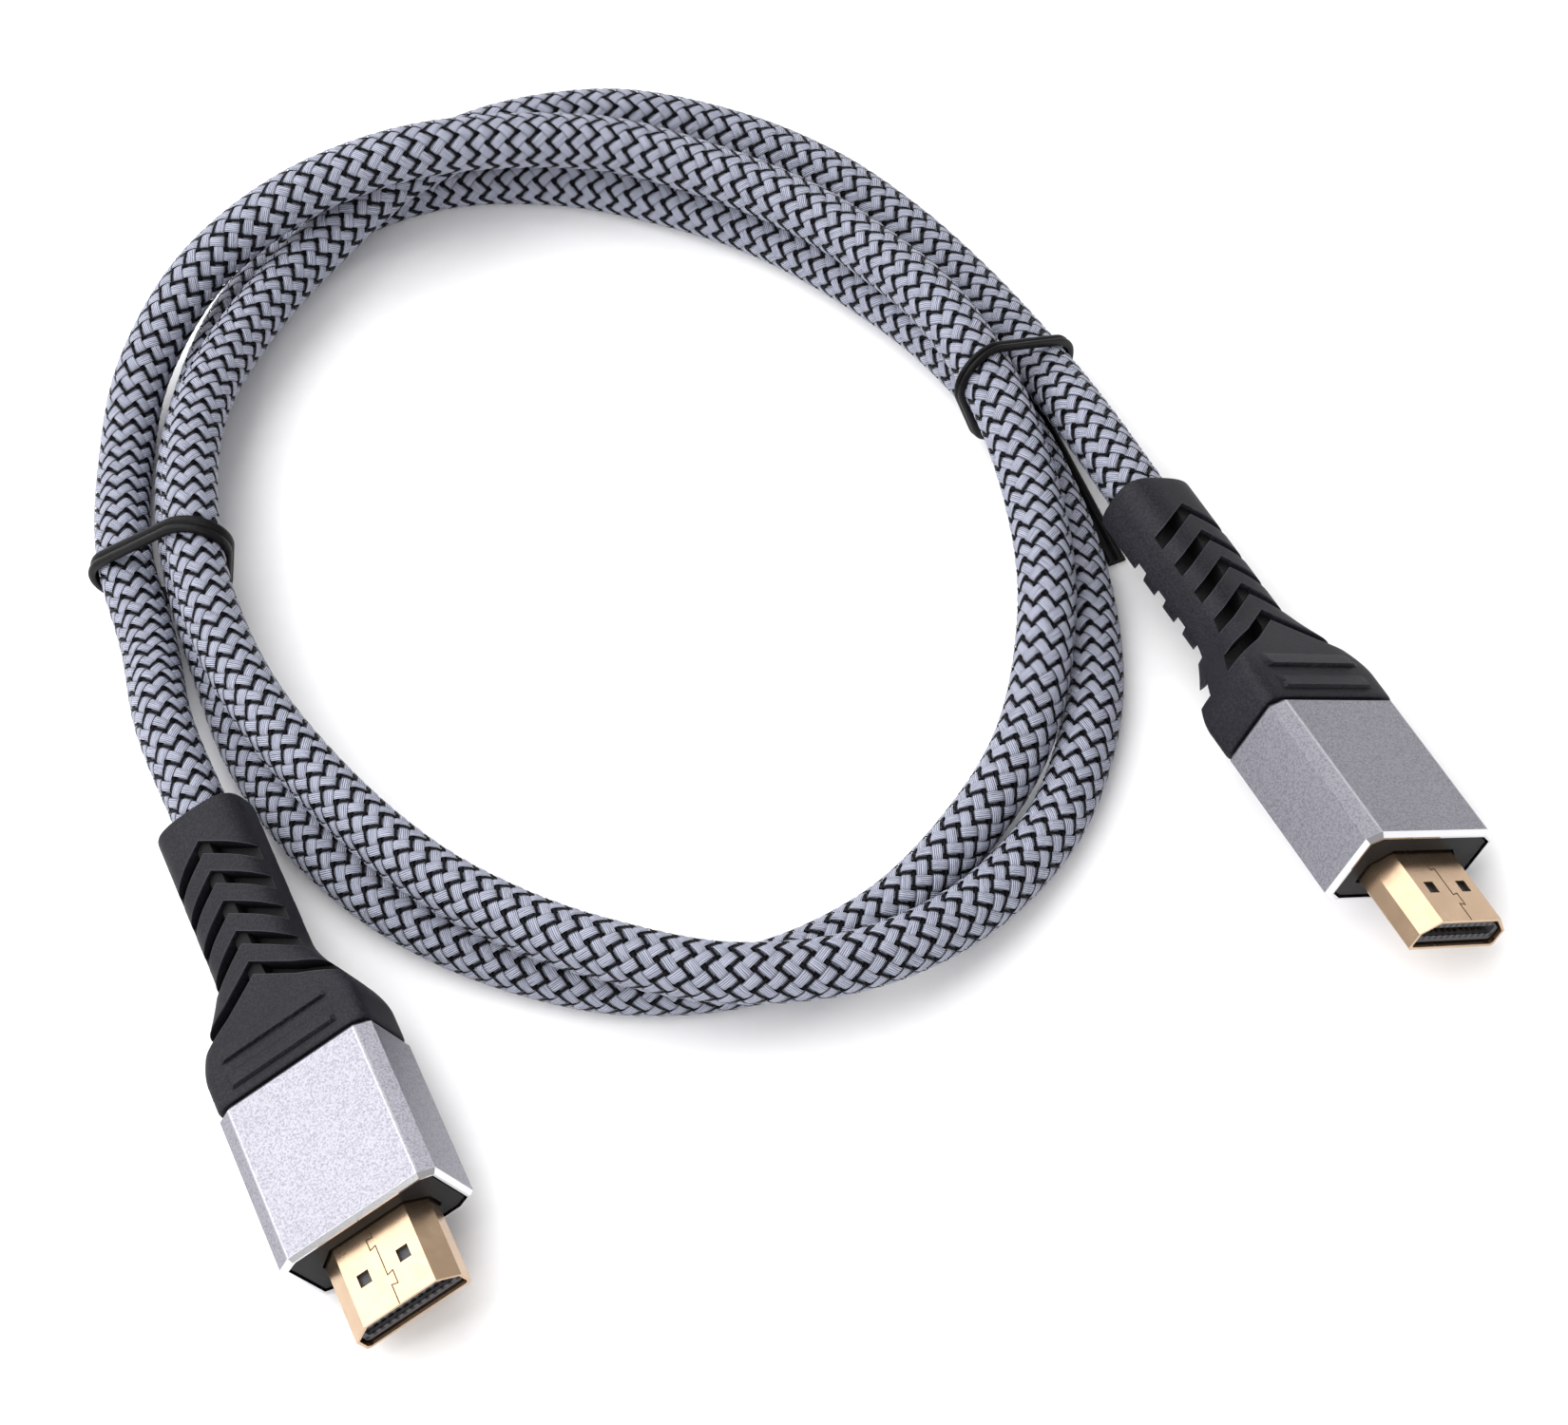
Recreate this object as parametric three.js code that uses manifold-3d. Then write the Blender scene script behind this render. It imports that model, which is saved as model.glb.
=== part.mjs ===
// A braided video cable with a plug on each end, lying on level floor in a loose coil of almost three turns.
// Units are millimetres, +Z is up, and the floor is z = 0.
import * as THREE from "three";
import { mergeVertices } from "three/addons/utils/BufferGeometryUtils.js";
import Module from "manifold-3d";

const wasm = await Module();
wasm.setup();

// Cable
const cableDiameter = 7;
const cableSides = 12;
const cableStep = 13;
// Middle line of the cable between its two ends, from left to right. A height of 3.5 lies on the floor.
const route = [
  [-70, 0, 8], [-71.5, 14.5, 5], [-73.5, 29.5, 4.8],
  [-72.5, 44.5, 3.5], [-68.5, 56.5, 6.5], [-59.5, 66, 11.5], [-47, 71.5, 15.5],
  [-33, 73.5, 17.5], [-19.5, 74, 16], [-5.5, 72, 13.5], [7, 65.5, 11.5],
  [17, 57, 11], [24.5, 47, 11.3], [30.5, 35.5, 12.4], [34.5, 21.5, 12],
  [36, 6, 10.5], [34.5, -9.5, 9.5], [29, -24, 6.5], [20, -34.5, 4.5],
  [8, -43, 3.5], [-6.5, -47, 3.5], [-21.5, -45, 3.5], [-34.5, -38.5, 3.5],
  [-46, -29, 3.5], [-54.5, -17.5, 3.5], [-60.5, -4, 3.5], [-63.5, 10, 3.5],
  [-65.5, 24.5, 4.8], [-65.5, 38.5, 4.2], [-62.5, 52, 3.5], [-56, 65.5, 3.5],
  [-44.5, 76.5, 3.5], [-29.5, 80.5, 3.5], [-14, 77.5, 3.5], [-0.5, 70.5, 3.5],
  [11.5, 61.5, 3.5], [21.5, 50, 3.9], [30, 36.5, 4.9], [36, 22.5, 4.6],
  [39, 8, 3.5], [39.5, -7, 3.5], [37, -21.5, 3.5], [30, -35, 3.5],
  [18.5, -45.5, 5.5], [5, -51, 8.5], [-9.5, -50.5, 10.5], [-22.5, -45, 11.5],
  [-33, -37.5, 11], [-42.5, -28, 10.5], [-51.5, -15, 10.5], [-59, 0, 11],
  [-63, 15.5, 11.5], [-63.5, 30.5, 12.2], [-61, 45, 11], [-54, 58.5, 9],
  [-44, 69.5, 8.5], [-32, 77, 10.5], [-19, 80.5, 11], [-4.5, 81.5, 8.5],
  [8.5, 78, 5], [19.5, 70, 3.5], [28.5, 58, 3.5], [35.5, 44.5, 4],
  [41, 30, 5.5], [44.5, 16.5, 9],
];

// Plug places: where the boot meets the housing, the turn about Z, and the roll about the plug's own length
const leftPlugX = -57.28;
const leftPlugY = -51.86;
const leftPlugHeight = 8.02;
const rightPlugX = 60.01;
const rightPlugY = -34.07;
const rightPlugHeight = 9.76;
const plugs = [
  { side: "left", x: leftPlugX, y: leftPlugY, height: leftPlugHeight, turn: -166.14, roll: 20 },
  { side: "right", x: rightPlugX, y: rightPlugY, height: rightPlugHeight, turn: -162.53, roll: -38 },
];

// Housing of a plug
const housingWidth = 20.8;
const housingThickness = 10.8;
const housingLength = 21.2;
const housingTopFlat = 17.2;
const housingCornerDrop = 1.15;
const housingBevel = 0.5;
const housingRim = 0.75;
const recessDepth = 1.5;
const facePlateThickness = 1;

// Metal shell of a plug, narrower at its top
const shellWidth = 13.9;
const shellHeight = 4.45;
const shellTopFlat = 9.5;
const shellSideTop = 2.5;
const shellCornerRise = 0.3;
const shellCornerIn = 0.3;
const shellDrop = 2.2;
const shellWall = 0.35;
const shellReach = 10;
const latchWidth = 1.5;
const latchLength = 1.6;
const latchSpacing = 5.2;
const latchFromHousing = 5;

// Insulator and contacts inside the shell
const insulatorSetBack = 0.5;
const mouthWidth = 11.2;
const mouthHeight = 1.3;
const mouthDepth = 7;
const contactPitch = 1;
const contactsAbove = 9;
const contactsBelow = 10;
const contactWidth = 0.42;
const contactHeight = 0.6;
const contactLength = 6;
const contactStandOut = 0.12;
const contactSetBack = 0.6;

// Boot, the flexible sleeve between housing and cable
const bootLength = 38;
const collarWidth = 11.4;
const collarThickness = 8.6;
const collarSquareness = 3.2;
const bootBaseWidth = 20.4;
const bootBaseThickness = 10.6;
const bootBaseSquareness = 7;
const flareStart = 17;
const flareEnd = 4;
const collarRounding = 0.5;
const bootStations = 30;
const bootSectionPoints = 32;
const slotCount = 5;
const slotPitch = 4.5;
const firstSlotFromHousing = 14.4;
const slotWidth = 1.9;
const slotSlope = 0.72;
const slotFloor = 1.9;
const webWidth = 2.2;
const webDrop = 0.7;
const webGrooveWidth = 2.8;
const webGrooveLength = 1.5;

// Ties, flat bands around the strands where the plane at each place crosses them
const bandThickness = 0.9;
const bandArcSteps = 8;
const leftTieX = -67;
const leftTieY = 24.1;
const leftTieReach = 12;
const leftTieWidth = 2.2;
const rightTieX = 37;
const rightTieY = 25.7;
const rightTieReach = 14;
const rightTieWidth = 1.3;
const ties = [
  { name: "left_tie", x: leftTieX, y: leftTieY, turn: -17.2, reach: leftTieReach, width: leftTieWidth },
  { name: "right_tie", x: rightTieX, y: rightTieY, turn: 30.1, reach: rightTieReach, width: rightTieWidth },
];
// Loose end of the right tie, a strip on the floor beneath the strand that goes to the right plug
const tailWidth = 2.2;
const tailLength = 28.2;
const tailStartX = 39.4;
const tailStartY = 29;
const tailTurn = 10.8;

// Clearances between neighbouring pieces
const seat = 0.3;
const contactSeat = 0.1;
const bandSeat = 0.3;
const past = 2;

const cableMaterial = new THREE.MeshStandardMaterial({ color: 0x9c9daa, roughness: 0.75, metalness: 0 });
const aluminium = new THREE.MeshStandardMaterial({ color: 0xbebec6, roughness: 0.38, metalness: 1 });
const gold = new THREE.MeshStandardMaterial({ color: 0xd9b382, roughness: 0.25, metalness: 1 });
const bootRubber = new THREE.MeshStandardMaterial({ color: 0x2d2d32, roughness: 0.8, metalness: 0 });
const blackPlastic = new THREE.MeshStandardMaterial({ color: 0x141416, roughness: 0.5, metalness: 0 });
const tiePlastic = new THREE.MeshStandardMaterial({ color: 0x282628, roughness: 0.5, metalness: 0 });

// A closed three.js geometry as a solid for joining and cutting.
function solidOf(geometry) {
  const bare = geometry.clone();
  bare.deleteAttribute("normal");
  bare.deleteAttribute("uv");
  const merged = mergeVertices(bare, 1e-4);
  return new wasm.Manifold(
    new wasm.Mesh({
      numProp: 3,
      vertProperties: merged.attributes.position.array,
      triVerts: new Uint32Array(merged.index.array),
    }),
  );
}

// A solid as a three.js geometry.
function geometryOf(solid) {
  const mesh = solid.getMesh();
  const geometry = new THREE.BufferGeometry();
  geometry.setAttribute("position", new THREE.BufferAttribute(mesh.vertProperties, 3));
  geometry.setIndex(new THREE.BufferAttribute(mesh.triVerts, 1));
  const faceted = geometry.toNonIndexed();
  faceted.computeVertexNormals();
  return faceted;
}

function named(name, geometry, material) {
  const mesh = new THREE.Mesh(geometry, material);
  mesh.name = name;
  return mesh;
}

// An outline in the plug's X and Z, extruded along the plug's Y from one place to another.
function alongPlug(points, from, to, bevel = 0) {
  const shape = new THREE.Shape(points.map(([x, z]) => new THREE.Vector2(x, -z)));
  const geometry = new THREE.ExtrudeGeometry(shape, {
    depth: to - from - 2 * bevel,
    bevelEnabled: bevel > 0,
    bevelThickness: bevel,
    bevelSize: bevel,
    bevelOffset: -bevel,
    bevelSegments: 1,
  });
  geometry.rotateX(-Math.PI / 2);
  return geometry.translate(0, from + bevel, 0);
}

// A box given by its middle and its sizes.
function block(width, length, height, x, y, z) {
  return new THREE.BoxGeometry(width, length, height).translate(x, y, z);
}

// Eight-cornered outline of the housing, drawn in by the same amount all round.
function housingOutline(inset) {
  const x = housingWidth / 2 - inset;
  const z = housingThickness / 2 - inset;
  const flat = housingTopFlat / 2 - inset / 2;
  const side = housingThickness / 2 - housingCornerDrop - inset / 2;
  return [[flat, z], [x, side], [x, -side], [flat, -z], [-flat, -z], [-x, -side], [-x, side], [-flat, z]];
}

// Eight-cornered outline of the shell, drawn in by the same amount all round.
function shellOutline(inset) {
  const bottom = -shellDrop + inset;
  const top = shellHeight - shellDrop - inset;
  const x = shellWidth / 2 - inset;
  const sideTop = shellSideTop - shellDrop - inset * 0.15;
  const flat = shellTopFlat / 2 - inset * 0.55;
  const low = x - shellCornerIn;
  const sideLow = bottom + shellCornerRise;
  return [[flat, top], [x, sideTop], [x, sideLow], [low, bottom], [-low, bottom], [-x, sideLow], [-x, sideTop], [-flat, top]];
}

// The housing: a bevelled block with a shallow recess in its front for the face plate.
function housing() {
  const body = solidOf(alongPlug(housingOutline(0), 0, housingLength, housingBevel));
  const recess = alongPlug(housingOutline(housingRim), housingLength - recessDepth, housingLength + past);
  return geometryOf(body.subtract(solidOf(recess)));
}

// The face plate fills the recess and has the shell's opening in it.
function facePlate() {
  const back = housingLength - recessDepth + seat;
  const plate = solidOf(alongPlug(housingOutline(housingRim + seat), back, back + facePlateThickness));
  const opening = alongPlug(shellOutline(-seat), back - past, back + facePlateThickness + past);
  return geometryOf(plate.subtract(solidOf(opening)));
}

// The shell: a tube of sheet metal with two latch holes in its top.
function shell() {
  const back = housingLength - recessDepth + seat;
  const front = housingLength + shellReach;
  let tube = solidOf(alongPlug(shellOutline(0), back, front));
  tube = tube.subtract(solidOf(alongPlug(shellOutline(shellWall), back - past, front + past)));
  const top = shellHeight - shellDrop;
  for (const side of [-1, 1]) {
    const x = (side * latchSpacing) / 2;
    const y = housingLength + latchFromHousing;
    tube = tube.subtract(solidOf(block(latchWidth, latchLength, 4 * shellWall, x, y, top)));
  }
  return geometryOf(tube);
}

// Places of the contacts: row 1 is above the mouth, row -1 below it.
function contactPlaces() {
  const places = [];
  for (const [row, count] of [[1, contactsAbove], [-1, contactsBelow]]) {
    for (let i = 0; i < count; i++) {
      places.push({ row, x: (i - (count - 1) / 2) * contactPitch });
    }
  }
  return places;
}

// Height of a contact's middle in its row.
function contactMiddle(row) {
  return row * (mouthHeight / 2 - contactStandOut + contactHeight / 2);
}

// The insulator: it fills the shell, with the mouth in its front and a groove for each contact.
function insulator() {
  const back = housingLength - recessDepth + seat;
  const front = housingLength + shellReach - insulatorSetBack;
  let body = solidOf(alongPlug(shellOutline(shellWall + seat), back, front));
  const mouth = block(mouthWidth, mouthDepth + past, mouthHeight, 0, front - mouthDepth / 2 + past / 2, 0);
  body = body.subtract(solidOf(mouth));
  for (const place of contactPlaces()) {
    const height = contactHeight + 2 * contactSeat;
    const length = mouthDepth - contactSetBack + 2 * contactSeat;
    const middle = front - contactSetBack - length / 2 + contactSeat;
    const groove = block(contactWidth + 2 * contactSeat, length, height, place.x, middle, contactMiddle(place.row));
    body = body.subtract(solidOf(groove));
  }
  return geometryOf(body);
}

// One contact strip, in its groove.
function contact(place) {
  const front = housingLength + shellReach - insulatorSetBack - contactSetBack;
  return block(contactWidth, contactLength, contactHeight, place.x, front - contactLength / 2, contactMiddle(place.row));
}

// Half sizes and squareness of the boot's section at a distance behind the housing.
function bootSection(behind) {
  const t = THREE.MathUtils.smoothstep(-behind, -flareStart, -flareEnd);
  const rounding = Math.max(0, 1 - (bootLength - behind) / collarRounding) * collarRounding;
  return {
    halfWidth: THREE.MathUtils.lerp(collarWidth, bootBaseWidth, t) / 2 - rounding,
    halfThickness: THREE.MathUtils.lerp(collarThickness, bootBaseThickness, t) / 2 - rounding,
    squareness: THREE.MathUtils.lerp(collarSquareness, bootBaseSquareness, t),
  };
}

// The boot's body: sections between round and square, lofted from the housing to the collar.
function bootBody() {
  const places = [];
  for (let i = 0; i <= bootStations; i++) {
    places.push(THREE.MathUtils.lerp(seat, bootLength - collarRounding, i / bootStations));
  }
  places.push(bootLength);
  const positions = [];
  for (const behind of places) {
    const section = bootSection(behind);
    for (let k = 0; k < bootSectionPoints; k++) {
      const angle = (2 * Math.PI * k) / bootSectionPoints;
      const c = Math.cos(angle);
      const s = Math.sin(angle);
      const n = section.squareness;
      const reach = (Math.abs(c) ** n + Math.abs(s) ** n) ** (-1 / n);
      positions.push(section.halfWidth * reach * c, -behind, section.halfThickness * reach * s);
    }
  }
  const middles = positions.length / 3;
  positions.push(0, -places[0], 0, 0, -places[places.length - 1], 0);
  const index = [];
  for (let k = 0; k < bootSectionPoints; k++) {
    const next = (k + 1) % bootSectionPoints;
    index.push(middles, next, k);
    for (let i = 0; i + 1 < places.length; i++) {
      const a = i * bootSectionPoints;
      const b = a + bootSectionPoints;
      index.push(a + k, a + next, b + k, a + next, b + next, b + k);
    }
    const last = (places.length - 1) * bootSectionPoints;
    index.push(middles + 1, last + k, last + next);
  }
  const geometry = new THREE.BufferGeometry();
  geometry.setAttribute("position", new THREE.Float32BufferAttribute(positions, 3));
  return geometry.setIndex(index);
}

// A bar that follows one arm of a slot, from near the middle of the boot out past its side.
function slotArm(apex, side, from, to, bottom, top) {
  const line = (x, shift) => new THREE.Vector2(side * x, apex + slotSlope * x + shift);
  const half = slotWidth / 2;
  const corners = [line(from, -half), line(to, -half), line(to, half), line(from, half)];
  const shape = new THREE.Shape(side > 0 ? corners : corners.reverse());
  const bar = new THREE.ExtrudeGeometry(shape, { depth: top - bottom, bevelEnabled: false });
  return bar.translate(0, 0, bottom);
}

// The boot: its body with pointed slots across the top and the bottom, open at the sides.
function boot() {
  let body = solidOf(bootBody());
  const outside = bootBaseWidth / 2 + past;
  const above = bootBaseThickness / 2 + past;
  const webTop = collarThickness / 2 - webDrop;
  for (let i = 0; i < slotCount; i++) {
    const apex = -firstSlotFromHousing - i * slotPitch;
    for (const side of [-1, 1]) {
      body = body.subtract(solidOf(slotArm(apex, side, webWidth / 2, outside, slotFloor, above)));
      body = body.subtract(solidOf(slotArm(apex, side, webWidth / 2, outside, -above, -slotFloor)));
    }
    const y = apex + (slotSlope * webWidth) / 4;
    const height = above - webTop;
    for (const side of [-1, 1]) {
      const z = side * (webTop + height / 2);
      body = body.subtract(solidOf(block(webGrooveWidth, webGrooveLength, height, 0, y, z)));
    }
  }
  return geometryOf(body);
}

// A plug: all its pieces, in the plug's own frame, then turned and set down where it lies.
function plug(place) {
  const group = new THREE.Group();
  const start = place.side + "_";
  group.add(named(start + "housing", housing(), aluminium));
  group.add(named(start + "face_plate", facePlate(), blackPlastic));
  group.add(named(start + "boot", boot(), bootRubber));
  group.add(named(start + "shell", shell(), gold));
  group.add(named(start + "insulator", insulator(), blackPlastic));
  contactPlaces().forEach((contactPlace, i) => {
    const number = String(i + 1).padStart(2, "0");
    group.add(named(start + "contact_" + number, contact(contactPlace), gold));
  });
  group.rotation.order = "ZYX";
  group.rotation.z = THREE.MathUtils.degToRad(place.turn);
  group.rotation.y = THREE.MathUtils.degToRad(place.roll);
  group.position.set(place.x, place.y, place.height);
  return group;
}

// Where the cable enters a plug's boot.
function cableEnd(place) {
  const turn = THREE.MathUtils.degToRad(place.turn);
  const reach = bootLength + seat;
  return [place.x + reach * Math.sin(turn), place.y - reach * Math.cos(turn), place.height];
}

// The cable's middle line as even short steps, never below where it lies on the floor.
function cableLine() {
  const points = [cableEnd(plugs[0]), ...route, cableEnd(plugs[1])];
  const smooth = new THREE.CatmullRomCurve3(points.map((p) => new THREE.Vector3(...p)), false, "catmullrom");
  const fine = smooth.getSpacedPoints(Math.round(smooth.getLength() / 2));
  fine.forEach((p) => {
    p.z = Math.max(p.z, cableDiameter / 2);
  });
  return fine;
}

// The cable: a round section carried along its middle line.
function cable(line) {
  const curve = new THREE.CatmullRomCurve3(line);
  const section = new THREE.Shape();
  const radius = cableDiameter / 2;
  for (let k = 0; k < cableSides; k++) {
    const angle = (2 * Math.PI * k) / cableSides;
    const x = radius * Math.cos(angle);
    const y = radius * Math.sin(angle);
    if (k === 0) section.moveTo(x, y);
    else section.lineTo(x, y);
  }
  const steps = Math.round(curve.getLength() / cableStep);
  const tube = new THREE.ExtrudeGeometry(section, { steps, extrudePath: curve, bevelEnabled: false });
  return geometryOf(solidOf(tube));
}

// Outline around circles of one radius, whose middles stand in order round their common middle.
function outlineAround(middles, radius) {
  const points = [];
  middles.forEach((middle, i) => {
    const before = middles[(i + middles.length - 1) % middles.length];
    const after = middles[(i + 1) % middles.length];
    const from = Math.atan2(middle.y - before.y, middle.x - before.x) - Math.PI / 2;
    let to = Math.atan2(after.y - middle.y, after.x - middle.x) - Math.PI / 2;
    while (to < from) to += 2 * Math.PI;
    for (let k = 0; k <= bandArcSteps; k++) {
      const angle = THREE.MathUtils.lerp(from, to, k / bandArcSteps);
      points.push(new THREE.Vector2(middle.x + radius * Math.cos(angle), middle.y + radius * Math.sin(angle)));
    }
  });
  return points;
}

// A tie: a band whose inside clears the strands that cross its plane, stretched sideways as they cross it aslant.
function tie(place, line) {
  const turn = THREE.MathUtils.degToRad(place.turn);
  const across = new THREE.Vector3(Math.cos(turn), Math.sin(turn), 0);
  const along = new THREE.Vector3(-Math.sin(turn), Math.cos(turn), 0);
  const origin = new THREE.Vector3(place.x, place.y, 0);
  const middles = [];
  let slant = 0;
  for (let i = 0; i + 1 < line.length; i++) {
    const a = line[i].clone().sub(origin);
    const b = line[i + 1].clone().sub(origin);
    const crosses = a.dot(along) * b.dot(along) <= 0;
    if (crosses && Math.abs(a.dot(across)) < place.reach) {
      const heading = b.clone().sub(a).normalize();
      slant = Math.max(slant, Math.acos(Math.abs(heading.dot(along))));
      const t = a.dot(along) / (a.dot(along) - b.dot(along));
      const at = a.lerp(b, t);
      middles.push(new THREE.Vector2(at.dot(across), at.z));
    }
  }
  const radius = cableDiameter / 2;
  const stretch = 1 / Math.cos(slant) + (Math.tan(slant) * place.width) / (2 * radius);
  middles.forEach((m) => m.set(m.x / stretch, m.y));
  const centre = middles.reduce((sum, m) => sum.add(m), new THREE.Vector2()).divideScalar(middles.length);
  middles.sort((m, n) => Math.atan2(m.y - centre.y, m.x - centre.x) - Math.atan2(n.y - centre.y, n.x - centre.x));
  const inside = radius + bandSeat;
  const shape = new THREE.Shape(outlineAround(middles, inside + bandThickness));
  shape.holes.push(new THREE.Path(outlineAround(middles, inside)));
  const band = new THREE.ExtrudeGeometry(shape, { depth: place.width, bevelEnabled: false });
  band.translate(0, 0, -place.width / 2);
  band.scale(stretch, 1, 1);
  band.rotateX(Math.PI / 2);
  band.rotateZ(turn);
  return band.translate(place.x, place.y, 0);
}

// The right tie's loose end, from beneath its band.
function tail() {
  const strip = new THREE.BoxGeometry(tailWidth, tailLength, bandThickness);
  strip.translate(0, -tailLength / 2, bandThickness / 2);
  strip.rotateZ(THREE.MathUtils.degToRad(tailTurn));
  return strip.translate(tailStartX, tailStartY, 0);
}

const assembly = new THREE.Group();
const line = cableLine();
assembly.add(named("cable", cable(line), cableMaterial));
for (const place of plugs) {
  assembly.add(plug(place));
}
const [leftTie, rightTie] = ties;
assembly.add(named(leftTie.name, tie(leftTie, line), tiePlastic));
const withTail = solidOf(tie(rightTie, line)).add(solidOf(tail()));
assembly.add(named(rightTie.name, geometryOf(withTail), tiePlastic));
const middle = new THREE.Box3().setFromObject(assembly, true).getCenter(new THREE.Vector3());
assembly.position.set(-middle.x, -middle.y, 0);

export default assembly;
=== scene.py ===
import bpy
import numpy as np
from mathutils import Matrix, Vector


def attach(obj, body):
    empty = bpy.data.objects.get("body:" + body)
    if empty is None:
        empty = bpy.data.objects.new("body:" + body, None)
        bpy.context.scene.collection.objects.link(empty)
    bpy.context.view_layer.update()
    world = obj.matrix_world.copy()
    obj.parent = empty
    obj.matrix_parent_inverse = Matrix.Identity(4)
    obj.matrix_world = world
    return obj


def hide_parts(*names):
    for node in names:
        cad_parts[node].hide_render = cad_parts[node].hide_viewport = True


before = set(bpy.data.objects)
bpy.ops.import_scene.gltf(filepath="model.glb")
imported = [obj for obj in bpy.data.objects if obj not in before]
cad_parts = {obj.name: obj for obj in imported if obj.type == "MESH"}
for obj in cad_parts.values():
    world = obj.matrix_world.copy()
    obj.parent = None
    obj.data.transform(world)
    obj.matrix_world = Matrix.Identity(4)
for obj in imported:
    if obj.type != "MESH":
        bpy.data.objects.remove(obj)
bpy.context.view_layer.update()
# Named sizes are in millimetres, and MM turns them into metres. The lamps and the paper are in metres.
MM = 0.001

# ---------------------------------------------------------------- view
# The picture was taken from above the near side with a long lens, the camera rolled a little,
# over white paper under one wide soft box, with a small panel in front.
view_place = np.array([3.285, -287.12, 397.5]) * MM
view_tilt = 0.9635
view_roll = 0.2015
lens_mm = 93.94

right = np.array([1.0, 0.0, 0.0])
down = np.array([0.0, -np.sin(view_tilt), -np.cos(view_tilt)])
forward = np.array([0.0, np.cos(view_tilt), -np.sin(view_tilt)])
view_x = np.cos(view_roll) * right + np.sin(view_roll) * down
view_y = np.sin(view_roll) * right - np.cos(view_roll) * down
camera = bpy.data.objects.new("view", bpy.data.cameras.new("view"))
camera.matrix_world = Matrix(
    [[*row, place] for row, place in zip(np.stack([view_x, view_y, -forward], 1), view_place)]
    + [[0, 0, 0, 1]]
)
camera.data.sensor_fit = "HORIZONTAL"
camera.data.sensor_width = 36
camera.data.lens = lens_mm
camera.data.clip_start = 0.01
camera.data.clip_end = 20
bpy.context.collection.objects.link(camera)
bpy.context.scene.camera = camera
bpy.context.scene.view_settings.view_transform = "Standard"


def lamp(name, place, size, power):
    """A round soft box of one size at a place, turned so that it shines at the middle of the object."""
    light = bpy.data.lights.new(name, "AREA")
    light.shape = "DISK"
    light.size = size
    light.energy = power
    thing = bpy.data.objects.new(name, light)
    thing.location = place
    thing.rotation_euler = (-Vector(place)).to_track_quat("-Z", "Y").to_euler()
    bpy.context.collection.objects.link(thing)


lamp("soft_box", (-0.45, 0.3, 0.85), 1.7, 16.0)
lamp("front_panel", (-0.2, -0.8, 0.7), 0.7, 3.0)

# The room is bright overhead and to the left, and falls off towards the right and the horizon.
surroundings = bpy.data.worlds.new("surroundings")
surroundings.use_nodes = True
room = surroundings.node_tree
way_out = room.nodes.new("ShaderNodeTexCoord").outputs["Generated"]
lean = room.nodes.new("ShaderNodeVectorMath")
lean.operation = "DOT_PRODUCT"
lean.inputs[1].default_value = (-0.55, 0.1, 0.83)
room.links.new(way_out, lean.inputs[0])
fall = room.nodes.new("ShaderNodeMapRange")
for socket, value in (("From Min", -0.5), ("From Max", 1.0), ("To Min", 0.2), ("To Max", 1.05)):
    fall.inputs[socket].default_value = value
room.links.new(lean.outputs["Value"], fall.inputs["Value"])
room.links.new(fall.outputs["Result"], room.nodes["Background"].inputs["Strength"])
room.nodes["Background"].inputs["Color"].default_value = (1, 1, 1, 1)
bpy.context.scene.world = surroundings


class Wire:
    """A node's output in a material. Sums, products and the like of wires and numbers add Math nodes."""

    def __init__(self, finish, socket):
        self.finish, self.socket = finish, socket

    def math(self, operation, *others):
        return self.finish.add("ShaderNodeMath", {"operation": operation}, dict(enumerate((self, *others))))

    def __add__(self, other): return self.math("ADD", other)
    __radd__ = __add__
    def __mul__(self, other): return self.math("MULTIPLY", other)
    __rmul__ = __mul__
    def __sub__(self, other): return self.math("SUBTRACT", other)
    def __rsub__(self, other): return (self * -1) + other
    def __truediv__(self, other): return self.math("DIVIDE", other)
    def sin(self): return self.math("SINE")
    def size(self): return self.math("ABSOLUTE")

    def step(self, low, high):
        """0 below low, 1 above high and smooth between."""
        return self.finish.add(
            "ShaderNodeMapRange", {"interpolation_type": "SMOOTHSTEP"},
            {"Value": self, "From Min": low, "From Max": high}, out="Result")


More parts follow.
